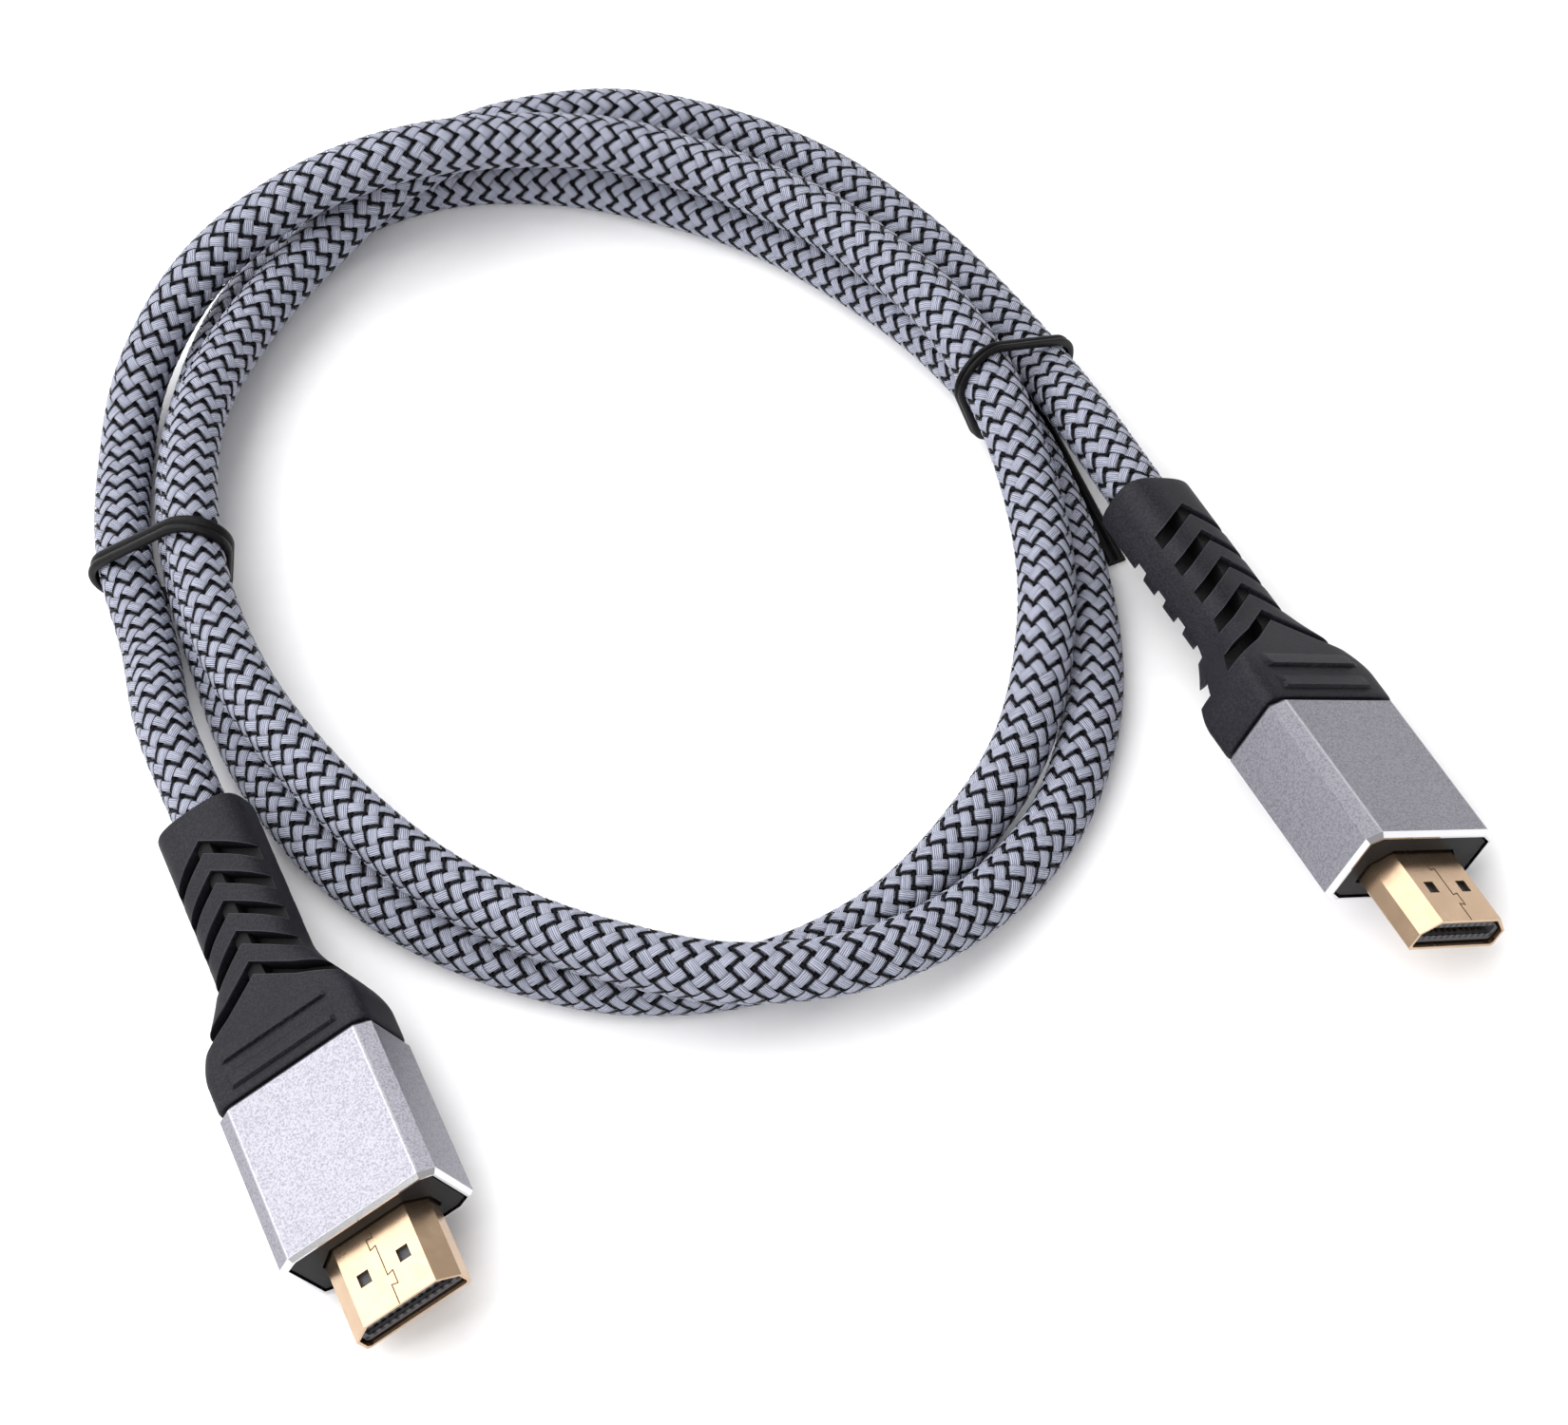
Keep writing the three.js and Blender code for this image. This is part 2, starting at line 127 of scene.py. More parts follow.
class Finish:
    """A material round one Principled shader. add() makes any node, and set() joins wires to the shader."""

    def __init__(self, name, **constants):
        self.material = bpy.data.materials.new(name)
        self.material.use_nodes = True
        self.tree = self.material.node_tree
        self.shader = self.tree.nodes["Principled BSDF"]
        for socket, value in constants.items():
            self.shader.inputs[socket.replace("_", " ")].default_value = value

    def add(self, kind, settings, values, out=0):
        node = self.tree.nodes.new(kind)
        for name, value in settings.items():
            setattr(node, name, value)
        for key, value in values.items():
            if isinstance(value, Wire):
                self.tree.links.new(value.socket, node.inputs[key])
            else:
                node.inputs[key].default_value = value
        return Wire(self, node.outputs[out])

    def set(self, **wires):
        for socket, value in wires.items():
            self.tree.links.new(value.socket, self.shader.inputs[socket.replace("_", " ")])

    def object_place(self):
        return self.add("ShaderNodeTexCoord", {}, {}, out="Object")

    def parts(self, place):
        """The three coordinates of a place, each as a wire."""
        return [self.add("ShaderNodeSeparateXYZ", {}, {"Vector": place}, out=way) for way in "XYZ"]

    def map(self):
        """The piece's own map as two wires, across and along."""
        return self.parts(self.add("ShaderNodeUVMap", {"uv_map": "weave"}, {}))[:2]

    def noise(self, place, scale, detail=2.0, rough=0.5):
        return self.add("ShaderNodeTexNoise", {},
                        {"Vector": place, "Scale": scale, "Detail": detail, "Roughness": rough}, out="Fac")

    def mix(self, share, first, second):
        """A colour between two, by a share from 0 to 1."""
        return self.add("ShaderNodeMix", {"data_type": "RGBA"}, {0: share, 6: first, 7: second}, out=2)

    def bump(self, height, distance, strength=1.0):
        return self.add("ShaderNodeBump", {}, {"Height": height, "Distance": distance, "Strength": strength})


def srgb(r, g, b):
    """Linear colour of a screen colour from 0 to 255."""
    c = np.array([r, g, b]) / 255
    return (*np.where(c <= 0.04045, c / 12.92, ((c + 0.055) / 1.055) ** 2.4), 1.0)


def piece(name, vertices, faces, finish, smooth=True, uv=None, sharp=None):
    """A mesh object at the origin. uv has a pair for each vertex of its map. Edges stay crisp past the angle
    sharp, in degrees."""
    mesh = bpy.data.meshes.new(name)
    vertices = np.asarray(vertices, dtype=np.float32).reshape(-1, 3)
    faces = np.asarray(faces, dtype=np.int32)
    count, corners = faces.shape
    mesh.vertices.add(len(vertices))
    mesh.vertices.foreach_set("co", vertices.ravel())
    mesh.loops.add(count * corners)
    mesh.loops.foreach_set("vertex_index", faces.ravel())
    mesh.polygons.add(count)
    mesh.polygons.foreach_set("loop_start", np.arange(0, count * corners, corners, dtype=np.int32))
    mesh.polygons.foreach_set("use_smooth", np.full(count, smooth))
    if uv is not None:
        layer = mesh.uv_layers.new(name="weave")
        at_corners = np.asarray(uv, dtype=np.float32).reshape(-1, 2)[faces.ravel()]
        layer.uv.foreach_set("vector", at_corners.ravel())
    mesh.update(calc_edges=True)
    mesh.validate()
    if sharp is not None:
        mesh.set_sharp_from_angle(angle=np.radians(sharp))
    mesh.materials.append(finish.material)
    thing = bpy.data.objects.new(name, mesh)
    bpy.context.collection.objects.link(thing)
    return thing


def grid_faces(rows, columns, closed=False, first=0):
    """Quads between the points of a grid stored row by row. closed joins the last column to the first."""
    across = columns if closed else columns - 1
    r, c = np.meshgrid(np.arange(rows - 1), np.arange(across), indexing="ij")
    n = (c + 1) % columns
    quads = np.stack([r * columns + c, r * columns + n, (r + 1) * columns + n, (r + 1) * columns + c], -1)
    return quads.reshape(-1, 4) + first


# The floor: a sheet of matt white paper under the object.
paper = Finish("white_paper", Roughness=0.9)
grain = paper.noise(paper.object_place(), 400.0)
paper.set(Base_Color=paper.mix(grain, srgb(246, 246, 247), srgb(252, 252, 252)))
paper_reach = 3.0
corners = np.array([[-1, -1, 0], [1, -1, 0], [1, 1, 0], [-1, 1, 0]]) * paper_reach
floor = piece("floor", corners, [[0, 1, 2, 3]], paper, smooth=False)

# ---------------------------------------------------------------- cable
# The cable is 7 mm thick and about a metre long: copper wires in a round black jacket, under a tight sleeve
# of flat grey yarns and thin black ones. The sleeve is braided on, and each yarn goes over two and under two.
# It ends inside the moulded boots, which hold it.
cable_diameter = 7.0
shift = np.array([1.2852, -0.6221, 0.0])
boot_reach = 38.3
plugs = {
    "left": dict(place=np.array([-57.28, -51.86, 8.02]) + shift, turn=-166.14, roll=20.0),
    "right": dict(place=np.array([60.01, -34.07, 9.76]) + shift, turn=-162.53, roll=-38.0),
}
route = np.array([
    [-70, 0, 8], [-71.5, 14.5, 5], [-73.5, 29.5, 4.8],
    [-72.5, 44.5, 3.5], [-68.5, 56.5, 6.5], [-59.5, 66, 11.5], [-47, 71.5, 15.5],
    [-33, 73.5, 17.5], [-19.5, 74, 16], [-5.5, 72, 13.5], [7, 65.5, 11.5],
    [17, 57, 11], [24.5, 47, 11.3], [30.5, 35.5, 12.4], [34.5, 21.5, 12],
    [36, 6, 10.5], [34.5, -9.5, 9.5], [29, -24, 6.5], [20, -34.5, 4.5],
    [8, -43, 3.5], [-6.5, -47, 3.5], [-21.5, -45, 3.5], [-34.5, -38.5, 3.5],
    [-46, -29, 3.5], [-54.5, -17.5, 3.5], [-60.5, -4, 3.5], [-63.5, 10, 3.5],
    [-65.5, 24.5, 4.8], [-65.5, 38.5, 4.2], [-62.5, 52, 3.5], [-56, 65.5, 3.5],
    [-44.5, 76.5, 3.5], [-29.5, 80.5, 3.5], [-14, 77.5, 3.5], [-0.5, 70.5, 3.5],
    [11.5, 61.5, 3.5], [21.5, 50, 3.9], [30, 36.5, 4.9], [36, 22.5, 4.6],
    [39, 8, 3.5], [39.5, -7, 3.5], [37, -21.5, 3.5], [30, -35, 3.5],
    [18.5, -45.5, 5.5], [5, -51, 8.5], [-9.5, -50.5, 10.5], [-22.5, -45, 11.5],
    [-33, -37.5, 11], [-42.5, -28, 10.5], [-51.5, -15, 10.5], [-59, 0, 11],
    [-63, 15.5, 11.5], [-63.5, 30.5, 12.2], [-61, 45, 11], [-54, 58.5, 9],
    [-44, 69.5, 8.5], [-32, 77, 10.5], [-19, 80.5, 11], [-4.5, 81.5, 8.5],
    [8.5, 78, 5], [19.5, 70, 3.5], [28.5, 58, 3.5], [35.5, 44.5, 4],
    [41, 30, 5.5], [44.5, 16.5, 9],
]) + shift


def turned(plug):
    """The plug's own axes as the columns of a matrix: a roll about its length, then a turn about +Z."""
    turn, roll = np.radians([plug["turn"], plug["roll"]])
    about_z = np.array([[np.cos(turn), -np.sin(turn), 0], [np.sin(turn), np.cos(turn), 0], [0, 0, 1]])
    about_y = np.array([[np.cos(roll), 0, np.sin(roll)], [0, 1, 0], [-np.sin(roll), 0, np.cos(roll)]])
    return about_z @ about_y


def in_place(plug, points):
    """Points of the plug's own frame, in millimetres, set down where the plug lies, in metres."""
    return (np.asarray(points) @ turned(plug).T + plug["place"]) * MM


def smooth_line(points, step):
    """Even steps along a curve whose slope at each point is half the way between its neighbours."""
    p = np.concatenate([[2 * points[0] - points[1]], points, [2 * points[-1] - points[-2]]])
    a, b, c, d = (p[i:len(p) - 3 + i, None] for i in range(4))
    t = np.linspace(0, 1, 40, endpoint=False)[None, :, None]
    s, e = (c - a) / 2, (d - b) / 2
    curve = b + t * s + t**2 * (3 * (c - b) - 2 * s - e) + t**3 * (2 * (b - c) + s + e)
    curve = np.concatenate([curve.reshape(-1, 3), points[-1:]])
    curve[:, 2] = np.maximum(curve[:, 2], cable_diameter / 2)
    run = np.concatenate([[0], np.cumsum(np.linalg.norm(np.diff(curve, axis=0), axis=1))])
    at = np.linspace(0, run[-1], round(run[-1] / step) + 1)
    return np.stack([np.interp(at, run, curve[:, k]) for k in range(3)], 1), at


ends = [in_place(plugs[side], [0, -boot_reach, 0]) / MM for side in ("left", "right")]
line, run = smooth_line(np.concatenate([[ends[0]], route, [ends[1]]]), 1.0)
heading = np.gradient(line, axis=0)
heading /= np.linalg.norm(heading, axis=1, keepdims=True)
beside = np.cross(heading, [0, 0, 1])
beside /= np.linalg.norm(beside, axis=1, keepdims=True)
above = np.cross(beside, heading)
cable_length = run[-1]


def tube_faces(rows, columns, first=0):
    """Triangles over a tube stored ring by ring, with a fan at each end round two points stored after it."""
    quads = grid_faces(rows, columns, closed=True)
    ring = np.arange(columns)
    last = ring + (rows - 1) * columns
    tips = rows * columns + np.array([0, 1])[:, None] + np.zeros(columns, dtype=int)
    return first + np.concatenate([
        quads[:, [0, 2, 1]], quads[:, [0, 3, 2]],
        np.stack([ring, np.roll(ring, -1), tips[0]], 1), np.stack([np.roll(last, -1), last, tips[1]], 1),
    ])


def round_the_cable(along, angle, radius):
    """Points in metres, by distance along the cable, angle round it and radius from its middle line."""
    inside = np.clip(along, 0, cable_length)
    middle, side, up, way = (
        np.stack([np.interp(inside, run, a[:, k]) for k in range(3)], -1)
        for a in (line, beside, above, heading)
    )
    middle = middle + (along - inside)[..., None] * way
    reach = np.asarray(radius)[..., None]
    return (middle + reach * (np.cos(angle)[..., None] * side + np.sin(angle)[..., None] * up)) * MM


# The jacket under the braid, seen only in the pinholes between yarns.
jacket_radius = 3.1
jacket = Finish("jacket", Roughness=0.7, Specular_IOR_Level=0.2)
jacket_grain = jacket.noise(jacket.object_place(), 3000.0)
jacket.set(Base_Color=jacket.mix(jacket_grain, srgb(2, 2, 3), srgb(7, 7, 9)))
sides = 20
rings = round(cable_length / 1.2)
a, b = np.meshgrid(np.linspace(0, cable_length, rings), np.arange(sides) * 2 * np.pi / sides, indexing="ij")
tube = round_the_cable(a, b, np.full_like(a, jacket_radius)).reshape(-1, 3)
tips = round_the_cable(np.array([0, cable_length]), np.zeros(2), np.zeros(2))
core = piece("cable_core", np.concatenate([tube, tips]), tube_faces(rings, sides), jacket)

# The braid: sixteen yarns each way round, grey and black in turn. Its map gives the place across a yarn
# from 0 to 1, and the place along it in beats of the weave, one for each time that the yarn comes up.
ways = 16
pair_step = 2.6
unit_turn = np.pi / ways
unit_step = pair_step / 4
grey_half, black_half = 0.57, 0.15
ride_height = 3.25
swing = 0.15
overrun = 0.2


def yarns(lay, indices, half_width, over_from, crown, across):
    """Flat bands on helices. Crossings are one unit apart. In each unit a band turns by unit_turn, and climbs
    by unit_step for lay +1 or falls by it for lay -1. Its height is ride_height plus swing times a rise that
    goes from over to under every two units. over_from is the unit where it comes up, and crown is how far its
    middle stands above its edges."""
    # Places in a beat, in units from the middle of its over part, and the rise at each.
    beat = np.array([-1.0, -0.8, -0.36, 0.36, 0.8, 1.0, 1.22, 2.78])
    rise = np.array([0.0, 0.9, 1.12, 1.12, 0.9, 0.0, -1.0, -1.0])
    slant = np.arctan2(unit_turn * ride_height, unit_step)
    q = np.linspace(-1, 1, across + 1)
    offset = q * half_width
    units = cable_length / unit_step
    vertices, faces, marks, start = [], [], [], 0
    for index in indices:
        low, high = 2 * index + min(0, lay * units), 2 * index + max(0, lay * units)
        beats = 4 * np.arange(low // 4 - 2, high // 4 + 3)
        s = (beats[:, None] + over_from + 1 + beat).ravel()
        height = np.tile(rise, len(beats))
        along = lay * (s - 2 * index) * unit_step
        keep = (along > -2) & (along < cable_length + 2)
        s, along, height = s[keep, None], along[keep, None], height[keep, None]
        around = s * unit_turn - lay * offset * np.cos(slant) / ride_height
        place = np.clip(along + offset * np.sin(slant), -overrun, cable_length + overrun)
        radius = ride_height + swing * height + crown * (1 - q**2)
        vertices.append(round_the_cable(place, around, radius).reshape(-1, 3))
        faces.append(grid_faces(len(s), len(q), first=start))
        beats_along = (s - over_from) / 4 + 8 * index
        marks.append(np.stack(np.broadcast_arrays((q + 1) / 2, beats_along), -1).reshape(-1, 2))
        start += len(vertices[-1])
    return np.concatenate(vertices), np.concatenate(faces), np.concatenate(marks)


def yarn_finish(name, light, shade, gap, filaments, gloss):
    """Filaments run along the yarn: a ripple across it, gap metres deep, and a grain drawn out along it. A beat
    of the map is over in its first half and under in the rest, where little light comes, so the under part gets
    painted shade towards a deep colour, and the yarn's edges get a little painted shade too."""
    finish = Finish(name, Roughness=0.5, Specular_IOR_Level=gloss)
    across, along = finish.map()
    place = finish.add("ShaderNodeCombineXYZ", {}, {"X": across * (filaments * 1.7), "Y": along * 1.6})
    grain = finish.noise(place, 1.0, 3.0)
    ripple = ((across * (filaments * np.pi) + grain * 2.5).sin().size() * 0.75 + grain * 0.5)
    # The filaments' streaks: yarn texture, with painted highlights in the light colour and painted shade in the
    # shade colour.
    colour = finish.mix(ripple.step(0.1, 0.85), shade, light)
    # Painted shade: the under part of each beat and the yarn's edges are darkened towards deep.
    beat = along.math("FRACT")
    lit = beat.step(-0.07, 0.04) * (1 - beat.step(0.48, 0.58))
    edge = (across - 0.5).size().step(0.38, 0.5)
    painted_shade = (1 - lit) * 0.42
    painted_shade = painted_shade + (1 - painted_shade) * edge * 0.25
    deep = tuple(0.16 * value for value in shade[:3]) + (1.0,)
    finish.set(Base_Color=finish.mix(painted_shade, colour, deep), Normal=finish.bump(ripple, gap))
    return finish


grey = yarn_finish("grey_yarn", srgb(170, 173, 190), srgb(50, 53, 70), 0.00014, 5, 0.3)
black = yarn_finish("black_yarn", srgb(12, 12, 17), srgb(3, 3, 5), 0.00004, 3, 0.08)
# Where a yarn comes up, in units, so that every crossing has one yarn over and one under.
grey_up, black_up = -0.72, -0.28
evens, odds = range(0, ways, 2), range(1, ways, 2)
lays = []
for name, lay, up in (("braid_left_lay", 1, grey_up), ("braid_right_lay", -1, grey_up + 2)):
    points, faces, marks = yarns(lay, evens, grey_half, up, 0.08, 4)
    lays.append(piece(name, points, faces, grey, uv=marks))
rising = yarns(1, odds, black_half, black_up, 0.05, 2)
falling = yarns(-1, odds, black_half, black_up + 2, 0.05, 2)
points, marks = (np.concatenate([rising[k], falling[k]]) for k in (0, 2))
faces = np.concatenate([rising[1], falling[1] + len(rising[0])])
tracers = piece("braid_tracers", points, faces, black, uv=marks)

for part in (core, *lays, tracers):
    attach(part, "root")
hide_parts("cable")

# ---------------------------------------------------------------- plug housings
# Each housing is a milled and bead-blasted aluminium sleeve with a polished bevel round its front. A black
# moulded plate is pressed into its front round the metal shell.
housing_length = 21.2
front_bevel = 0.5
top_flat = 17.2
top_height = 5.3


def own_place(finish, plug):
    """Object coordinates turned back to the plug's own axes, in metres: x across, y to the tip, z up."""
    turn = Matrix(turned(plug).tolist()).to_euler("XYZ")
    return finish.add("ShaderNodeMapping", {"vector_type": "TEXTURE"}, {
        "Vector": finish.object_place(), "Location": tuple(plug["place"] * MM), "Rotation": tuple(turn)})


def cover(node, finish):
    """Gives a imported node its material."""
    for material_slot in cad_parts[node].material_slots:
        material_slot.material = finish.material


for side, plug in plugs.items():
    aluminium = Finish(side + "_aluminium", Metallic=1.0)
    place = own_place(aluminium, plug)
    across, along, up = aluminium.parts(place)
    bevel = housing_length - front_bevel
    polished = along.step((bevel - 0.08) * MM, (bevel + 0.04) * MM)
    blast = aluminium.noise(place, 4200.0, 3.0)
    cloud = aluminium.noise(place, 90.0, 2.0)
    satin = aluminium.mix(cloud, srgb(156, 155, 163), srgb(163, 162, 170))
    satin = aluminium.mix(blast.step(0.35, 0.75) * 0.7, satin, srgb(112, 111, 120))
    # A painted highlight: a bright line along each long edge of the top and the bottom, where a rounded edge
    # would catch the light.
    edge = 1 - (across.size() - top_flat / 2 * MM).size().step(0.05 * MM, 0.28 * MM)
    outer = up.size().step((top_height - 0.3) * MM, top_height * MM)
    satin = aluminium.mix(edge * outer * 0.35, satin, srgb(214, 213, 218))
    aluminium.set(
        Base_Color=aluminium.mix(polished, satin, srgb(214, 213, 216)),
        Roughness=0.42 + blast * 0.1 - polished * 0.36,
        Normal=aluminium.bump(blast * (1 - polished), 0.00002),
    )
    cover(side + "_housing", aluminium)

front_black = Finish("front_plate_black", Roughness=0.5, Specular_IOR_Level=0.2)
spark = front_black.noise(front_black.object_place(), 5000.0, 2.0)
front_black.set(Base_Color=front_black.mix(spark, srgb(14, 14, 16), srgb(30, 30, 33)),
                Normal=front_black.bump(spark, 0.000015))
for side in plugs:
    cover(side + "_face_plate", front_black)

# ---------------------------------------------------------------- metal shells and contacts
# Each shell is thin steel strip folded round and locked along its top by a seam with two dovetails, then
# gold plated. The contacts are stamped strips in the two long faces of the black insulator's mouth.
shell_thick, shell_below = 4.45, 2.2
seam_half, seam_lift = 0.06, 0.02
seam_path = np.array([
    [0.0, 21.3], [0.0, 22.5], [0.75, 22.3], [0.75, 23.7], [0.0, 23.5], [0.0, 27.4],
    [-0.75, 27.2], [-0.75, 28.9], [0.0, 28.7], [0.0, 31.15],
])


def strip(path, half, height):
    """A flat ribbon along a path of x and y at one height. At a corner its edges meet on the line that halves
    the angle, at half the ribbon's width from both runs."""
    way = np.diff(path, axis=0)
    way /= np.linalg.norm(way, axis=1, keepdims=True)
    side = np.stack([-way[:, 1], way[:, 0]], 1)
    mitre = np.concatenate([side[:1], side[:-1] + side[1:], side[-1:]])
    reach = half / np.concatenate([[1.0], (mitre[1:-1] * side[1:]).sum(1), [1.0]])
    edges = np.stack([path + mitre * reach[:, None], path - mitre * reach[:, None]], 1)
    flat = edges.reshape(-1, 2)
    return np.concatenate([flat, np.full((len(flat), 1), height)], 1), grid_faces(len(path), 2)[:, ::-1]


gold = Finish("gold_plate", Metallic=1.0)
wear = gold.noise(gold.object_place(), 500.0, 4.0)
fine = gold.noise(gold.object_place(), 6000.0, 2.0)
gold.set(Base_Color=gold.mix(wear.step(0.3, 0.75), srgb(190, 162, 134), srgb(200, 172, 144)),
         Roughness=0.24 + wear * 0.05, Normal=gold.bump(fine, 0.000006))
seam_dark = Finish("seam_shadow", Roughness=0.8, Specular_IOR_Level=0.1)
seam_grain = seam_dark.noise(seam_dark.object_place(), 3000.0)
seam_dark.set(Base_Color=seam_dark.mix(seam_grain, srgb(58, 44, 32), srgb(84, 66, 48)))

# Painted shade: dark notches, one to each millimetre of contact pitch, in two rows along the front edge of the
# insulator, painted on its flat front where the recesses between the contacts are shaded.
insulator_front = 30.7
notch_row = (0.55, 1.17)
for side, plug in plugs.items():
    insulation = Finish(side + "_insulator_black", Roughness=0.5, Specular_IOR_Level=0.3)
    place = own_place(insulation, plug)
    across, along, up = insulation.parts(place)
    speck = insulation.noise(place, 4000.0)
    plastic = insulation.mix(speck, srgb(58, 58, 62), srgb(84, 84, 88))
    tooth = 1 - ((across / MM + 20.5).math("FRACT") - 0.5).size().step(0.2, 0.26)
    low, high = notch_row
    row = up.size().step(low * MM, (low + 0.07) * MM) * (1 - up.size().step((high - 0.07) * MM, high * MM))
    notch_shade = tooth * row * along.step((insulator_front - 0.2) * MM, (insulator_front - 0.1) * MM)
    insulation.set(Base_Color=insulation.mix(notch_shade, plastic, srgb(3, 3, 4)))
    cover(side + "_insulator", insulation)
    cover(side + "_shell", gold)
    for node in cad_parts:
        if node.startswith(side + "_contact"):
            cover(node, gold)
    points, faces = strip(seam_path, seam_half, shell_thick - shell_below + seam_lift)
    seam = piece(side + "_shell_seam", in_place(plug, points), faces, seam_dark, smooth=False)
    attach(seam, "root")

# ---------------------------------------------------------------- boots
# Each boot is soft black elastomer moulded over the cable and the back of the housing. Five pointed slots
# across its top and bottom let it bend, and two low grip bars stand on its top next to the housing.
boot_length = 38.0
boot_columns = 208
seat = 0.3
# Width, thickness and superellipse power, at the collar and where the boot meets the housing.
collar_shape, joint_shape = (11.4, 8.6, 3.2), (20.7, 10.6, 9.0)
shoulder_start, shoulder_end = 4.0, 17.0
collar_round, joint_round = 0.6, 0.15
# The slots and rows are chevrons: each point lies further forward by chevron_slope times its distance from
# the middle, and by less past chevron_bend. They straighten up from lean_full to lean_start.
slot_apexes = -14.4 - 4.5 * np.arange(5)
slot_reach = 1.1
slot_floor = 1.9
web_half = 1.1
web_top = 3.6
chevron_slope, chevron_bend, chevron_ease = 0.72, 4.7, 0.18
lean_start, lean_full = 3.5, 13.2
grip_bars = ((-7.1, -5.05), (-3.6, -1.55))
bar_half = 7.1
bar_low, bar_high = 0.06, 0.42


def ease(x):
    """0 below 0, 1 above 1, and between them three times x squared less twice x cubed."""
    x = np.clip(x, 0, 1)
    return x * x * (3 - 2 * x)


def boot_section(behind, angle):
    """x and z of the boot's outline at a distance behind the housing: a superellipse that widens and squares
    up from the collar to the housing, drawn in by a quarter circle at each end."""
    t = ease((shoulder_end - behind) / (shoulder_end - shoulder_start))
    wide, thick, power = (a + (b - a) * t for a, b in zip(collar_shape, joint_shape))
    collar = np.clip((behind - boot_length + collar_round) / collar_round, 0, 1)
    joint = np.clip((0.9 - behind) / 0.6, 0, 1)
    inset = collar_round * (1 - np.sqrt(1 - collar**2)) + joint_round * (1 - np.sqrt(1 - joint**2))
    c, s = np.cos(angle), np.sin(angle)
    reach = (np.abs(c) ** power + np.abs(s) ** power) ** (-1 / power)
    return (wide / 2 - inset) * reach * c, (thick / 2 - inset) * reach * s


def boot_shape():
    """The boot's points, row by row from the housing to the collar, and a mark for each. Inside a slot's rows
    the surface is pressed down to the slot's floor, less at the web in the middle. Each grip bar slopes up
    towards the housing. Marks are above 0 for painted shade in a slot and on the ends and flanks of each grip
    bar, and below 0 for a painted highlight on a slot's lips."""
    edge = np.array([-1.1, -0.97, -0.93, -0.9, -0.4, 0.0, 0.4, 0.9, 0.93, 0.97, 1.1])
    # pressed lowers a slot's rows, and its values also give painted shade in the slot and, at -0.7, a painted
    # highlight on its lips.
    pressed = np.array([0, -0.7, 0.25, 1, 1, 1, 1, 1, 0.25, -0.7, 0])
    rows = [np.linspace(-seat, -1.2, 8), np.linspace(-1.3, -7.6, 64), np.linspace(-7.75, -lean_full, 26)]
    marks = [np.zeros(sum(map(len, rows)))]
    rim_start = collar_round - boot_length
    for apex, stop in zip(slot_apexes, [*(slot_apexes[1:] + slot_reach), rim_start]):
        between = np.linspace(apex - slot_reach, stop, 5)[1:-1]
        rows += [apex - edge, between]
        marks += [pressed, np.zeros(len(between))]
    rows.append(rim_start - collar_round * np.sin(np.linspace(0, np.pi / 2, 6)))
    marks.append(np.zeros(6))
    mid, mark = np.concatenate(rows)[:, None], np.concatenate(marks)[:, None]
    angle = (np.arange(boot_columns) * 2 * np.pi / boot_columns)[None]
    forward_lean = ease((-mid - lean_start) / (lean_full - lean_start))
    lean = np.where(mid > -lean_full, forward_lean, ease((mid + boot_length - 0.4) / 4.6))
    # The chevron depends on x, which depends on y, so a few rounds settle both.
    y = np.broadcast_to(mid, (len(mid), boot_columns))
    for _ in range(6):
        x, z = boot_section(-y, angle)
        far = np.abs(x)
        y = mid + lean * (chevron_slope * far - chevron_ease * np.maximum(far - chevron_bend, 0))
    floor_here = web_top + (slot_floor - web_top) * ease((far - web_half + 0.1) / 0.2)
    lowered = np.sign(z) * np.minimum(np.abs(z), floor_here)
    # Painted shade where the slot is pressed more than 0.2 deep, and the painted highlight on its lips.
    shadow = mark * (np.abs(z) - np.abs(lowered) > 0.2)
    z = z + (lowered - z) * np.maximum(mark, 0)
    for low, high in grip_bars:
        inside = ease((y - low) / 0.1) * ease((high - y) / 0.1) * ease((bar_half - far) / 0.2) * (z > 3)
        z = z + inside * (bar_low + bar_high * (y - low) / (high - low))
        # Painted shade lines along the ends and flanks of each grip bar.
        ends_of_bar = (np.abs(y - low) < 0.08) * 0.5 + ((y > high - 0.05) & (y < high + 0.2)) * 0.8
        flank = (np.abs(far - bar_half) < 0.12) & (y > low) & (y < high)
        drawn = np.maximum(ends_of_bar * (far < bar_half + 0.1), flank * 0.6) * (z > 3)
        shadow = np.where(drawn > 0, drawn, shadow)
    return np.stack([x, y, z], -1), shadow


rubber = Finish("boot_rubber", Roughness=0.55, Specular_IOR_Level=0.2)
mark = rubber.map()[0]
pebble = rubber.noise(rubber.object_place(), 3600.0, 3.0, 0.6)
smudge = rubber.noise(rubber.object_place(), 160.0, 3.0)
skin = rubber.mix(pebble.step(0.3, 0.8), srgb(16, 16, 21), srgb(42, 42, 50))
skin = rubber.mix(smudge.step(0.3, 0.8) * 0.35, skin, srgb(16, 16, 20))
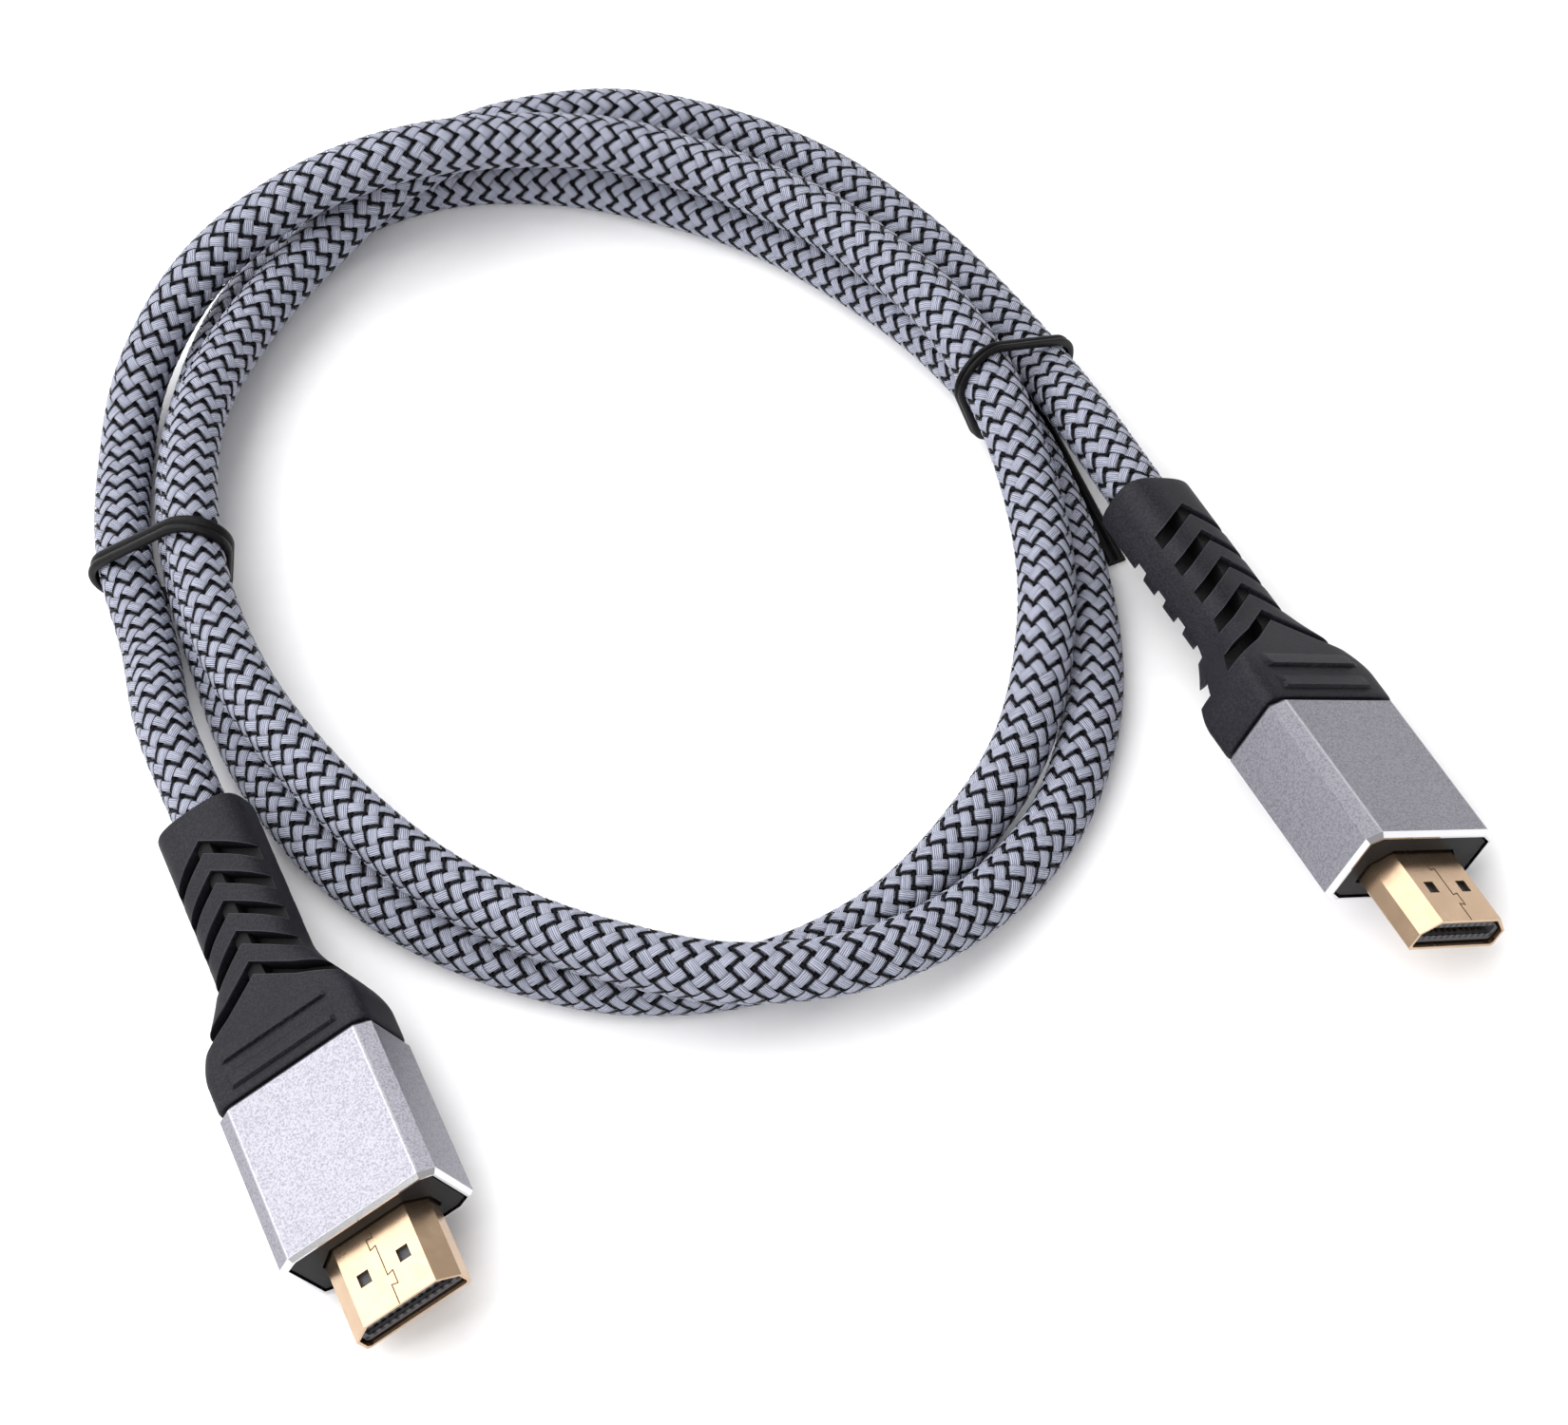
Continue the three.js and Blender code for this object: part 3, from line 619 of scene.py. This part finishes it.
# Painted highlight on a slot's lips where the mark is below 0, and near-black painted shade in the slots and
# round the grip bars where it is above 0.
skin = rubber.mix((mark * -1).step(0.1, 0.6) * 0.6, skin, srgb(74, 74, 82))
rubber.set(Base_Color=rubber.mix(mark.step(0.3, 0.9) * 0.9, skin, srgb(4, 4, 5)),
           Roughness=0.5 + pebble * 0.2, Normal=rubber.bump(pebble, 0.00004))
boot_points, boot_marks = boot_shape()
boot_faces = tube_faces(*boot_points.shape[:2])[:, ::-1]
boot_map = np.concatenate([np.stack([boot_marks, boot_points[..., 1]], -1).reshape(-1, 2), np.zeros((2, 2))])
boot_points = np.concatenate([boot_points.reshape(-1, 3), boot_points[[0, -1], 0] * [0, 1, 0]])
for side, plug in plugs.items():
    sleeve = piece(side + "_boot_sleeve", in_place(plug, boot_points), boot_faces, rubber,
                   uv=boot_map, sharp=35)
    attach(sleeve, "root")
    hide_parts(side + "_boot")

# ---------------------------------------------------------------- ties
# Two moulded plastic ties hold the coil. Each is a flat black band with two ribs along it, pulled round the
# strands that lie side by side there. The right one stands on its edge, and its loose end lies on the floor.
band_seat = 0.12
band_width = 2.2
ties = {
    "left": dict(x=-67.0, y=24.1, turn=-17.2, reach=12.0, wide=2.2),
    "right": dict(x=37.0, y=25.7, turn=30.1, reach=14.0, wide=1.3),
}

up_axis = np.array([0, 0, 1])


def level_axes(degrees):
    """Unit vectors across and along a thing that lies level and is turned about +Z."""
    turn = np.radians(degrees)
    return np.array([np.cos(turn), np.sin(turn), 0]), np.array([-np.sin(turn), np.cos(turn), 0])


def tie_loop(tie, origin):
    """The inside outline of a band, in across and up: arcs round the strands that cross its plane, in order,
    joined by straight runs. It is found with round strands, so stretch says how much wider the slant at which
    the strands cross makes it."""
    across, along = level_axes(tie["turn"])
    from_it = line - origin
    ahead = from_it @ along
    hits = np.where((ahead[:-1] * ahead[1:] <= 0) & (np.abs(from_it[:-1] @ across) < tie["reach"]))[0]
    share = (ahead[hits] / (ahead[hits] - ahead[hits + 1]))[:, None]
    met = from_it[hits] * (1 - share) + from_it[hits + 1] * share
    slant = np.arccos(np.abs(heading[hits] @ along)).mean()
    stretch = 1 / np.cos(slant)
    middles = np.stack([met @ across / stretch, met[:, 2]], 1)
    centre = middles.mean(0)
    middles = middles[np.argsort(np.arctan2(middles[:, 1] - centre[1], middles[:, 0] - centre[0]))]
    before, after = middles - np.roll(middles, 1, 0), np.roll(middles, -1, 0) - middles
    start = np.arctan2(before[:, 1], before[:, 0]) - np.pi / 2
    stop = np.arctan2(after[:, 1], after[:, 0]) - np.pi / 2
    stop = start + np.mod(stop - start, 2 * np.pi)
    turns = start[:, None] + (stop - start)[:, None] * np.linspace(0, 1, 16)
    normals = np.stack([np.cos(turns), np.sin(turns)], -1)
    loop = middles[:, None] + (cable_diameter / 2 + band_seat) * normals
    return loop.reshape(-1, 2), normals.reshape(-1, 2), stretch


def band(tie, profile):
    """A closed band: the profile, of places across the band and heights over its inside, carried round the
    loop with a few even cuts in each of its runs."""
    origin = np.array([tie["x"], tie["y"], 0]) + shift
    across, along = level_axes(tie["turn"])
    loop, normals, stretch = tie_loop(tie, origin)
    t = np.linspace(0, 1, 6, endpoint=False)[None, :, None]
    loop, normals = (
        (a[:, None] * (1 - t) + np.roll(a, -1, 0)[:, None] * t).reshape(-1, 2) for a in (loop, normals)
    )
    at = loop[:, None] + normals[:, None] * profile[None, :, 1:]
    points = origin + at[..., :1] * stretch * across + at[..., 1:] * up_axis + profile[None, :, :1] * along
    points = np.concatenate([points, points[:1]])
    return points.reshape(-1, 3) * MM, grid_faces(len(points), len(profile), closed=True)


tie_black = Finish("tie_black", Roughness=0.45, Specular_IOR_Level=0.15)
haze = tie_black.noise(tie_black.object_place(), 700.0, 3.0)
pit = tie_black.noise(tie_black.object_place(), 5000.0, 2.0)
tie_black.set(Base_Color=tie_black.mix(haze.step(0.25, 0.8), srgb(7, 7, 8), srgb(18, 17, 19)),
              Roughness=0.38 + haze * 0.15, Normal=tie_black.bump(pit, 0.00001))
two_ribs = np.array([
    [-1.0, 0.0], [-1.1, 0.12], [-1.1, 0.5], [-1.02, 0.74], [-0.8, 0.88], [-0.5, 0.9],
    [-0.24, 0.82], [-0.12, 0.66], [0.0, 0.58], [0.12, 0.66], [0.24, 0.82],
    [0.5, 0.9], [0.8, 0.88], [1.02, 0.74], [1.1, 0.5], [1.1, 0.12], [1.0, 0.0],
])

# The right tie's loose end: the same profile carried straight along the floor.
tail_start = np.array([39.4, 29.0, 0.0])
tail_length = 28.2
tail_across, tail_along = level_axes(10.8)
tail_rows = tail_start + shift - np.linspace(0, tail_length, 60)[:, None] * tail_along
tail = tail_rows[:, None] + two_ribs[:, :1] * tail_across + two_ribs[:, 1:] * up_axis
tail = np.concatenate([tail.reshape(-1, 3), tail_rows[[0, -1]] + 0.3 * up_axis]) * MM
for side, tie in ties.items():
    points, faces = band(tie, two_ribs * [tie["wide"] / band_width, 1.0])
    faces = np.concatenate([faces[:, [0, 1, 2]], faces[:, [0, 2, 3]]])
    if side == "right":
        faces = np.concatenate([faces, tube_faces(len(tail_rows), len(two_ribs), first=len(points))])
        points = np.concatenate([points, tail])
    loop = piece(side + "_tie_band", points, faces, tie_black, sharp=50)
    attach(loop, "root")
    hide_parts(side + "_tie")
